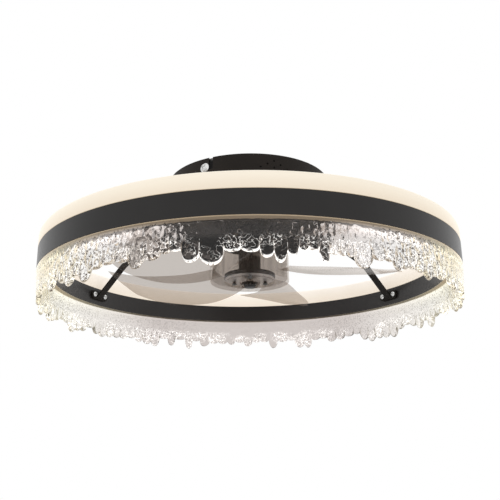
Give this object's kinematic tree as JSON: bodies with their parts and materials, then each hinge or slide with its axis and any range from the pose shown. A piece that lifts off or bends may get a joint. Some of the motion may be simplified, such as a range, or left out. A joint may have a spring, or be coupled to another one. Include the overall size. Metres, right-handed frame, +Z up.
{
  "type": "ceiling fan",
  "caption": "Flush mount ceiling fan: a clear swept impeller turns inside a ring light with a skirt of uneven clear icicles, hung on bent arms from a round black canopy.",
  "frame": {"origin": "centre of the bracket's upper face, on the ceiling plane and on the fan's axis", "axes": "+Z up along the fan's axis, into the ceiling; the picture looks along +Y, and +X is to its right"},
  "size_m": [0.5, 0.5, 0.1718],
  "materials": {
    "black_steel": "satin black paint",
    "black_aluminium": "satin black coating",
    "bright_steel": "bright zinc",
    "zinc_steel": "dull zinc",
    "white_plastic": "matt white",
    "circuit_board": "green solder mask",
    "led_board": "white solder mask with pale chips",
    "copper_winding": "varnished copper",
    "magnet": "dark sintered magnet",
    "opal_diffuser": "opal, glows when lit",
    "clear_acrylic": "clear moulded acrylic",
    "smoky_plastic": "clear grey, glossy",
    "lead_sleeve": "black sleeve"
  },
  "bodies": {
    "fixture": {"ceiling_bracket": "zinc_steel", "canopy": "black_steel", "canopy_screw_1": "bright_steel", "canopy_screw_2": "bright_steel", "driver_case": "white_plastic", "driver_board": "circuit_board", "driver_cover": "white_plastic", "receiver_case": "white_plastic", "receiver_board": "circuit_board", "receiver_cover": "white_plastic", "terminal_block": "white_plastic", "motor_housing": "black_steel", "motor_end_cap": "black_steel", "upper_bearing": "bright_steel", "lower_bearing": "bright_steel", "motor_stator": "copper_winding", "ring_channel": "black_aluminium", "led_board": "led_board", "diffuser": "opal_diffuser", "icicle_ring": "clear_acrylic", "motor_lead": "lead_sleeve", "light_lead": "lead_sleeve", "motor_screw_1": "zinc_steel", "arm_1": "black_steel", "motor_screw_2": "zinc_steel", "arm_2": "black_steel", "motor_screw_3": "zinc_steel", "arm_3": "black_steel", "arm_screw_1": "bright_steel", "tab_screw_1": "bright_steel", "arm_screw_2": "bright_steel", "tab_screw_2": "bright_steel", "arm_screw_3": "bright_steel", "tab_screw_3": "bright_steel", "arm_screw_4": "bright_steel", "tab_screw_4": "bright_steel", "arm_screw_5": "bright_steel", "tab_screw_5": "bright_steel", "arm_screw_6": "bright_steel", "tab_screw_6": "bright_steel"},
    "rotor": {"motor_magnet": "magnet", "motor_shaft": "bright_steel", "shaft_sleeve": "black_steel", "hub_flange": "black_steel", "hub_nut": "zinc_steel", "impeller": "smoky_plastic", "hub_screw_1": "zinc_steel", "hub_screw_2": "zinc_steel", "hub_screw_3": "zinc_steel"}
  },
  "joints": [
    {"name": "fan_spin", "type": "hinge", "parent": "fixture", "child": "rotor", "pos_m": [0, 0, -0.1], "axis": [0, 0, 1], "continuous": true}
  ]
}
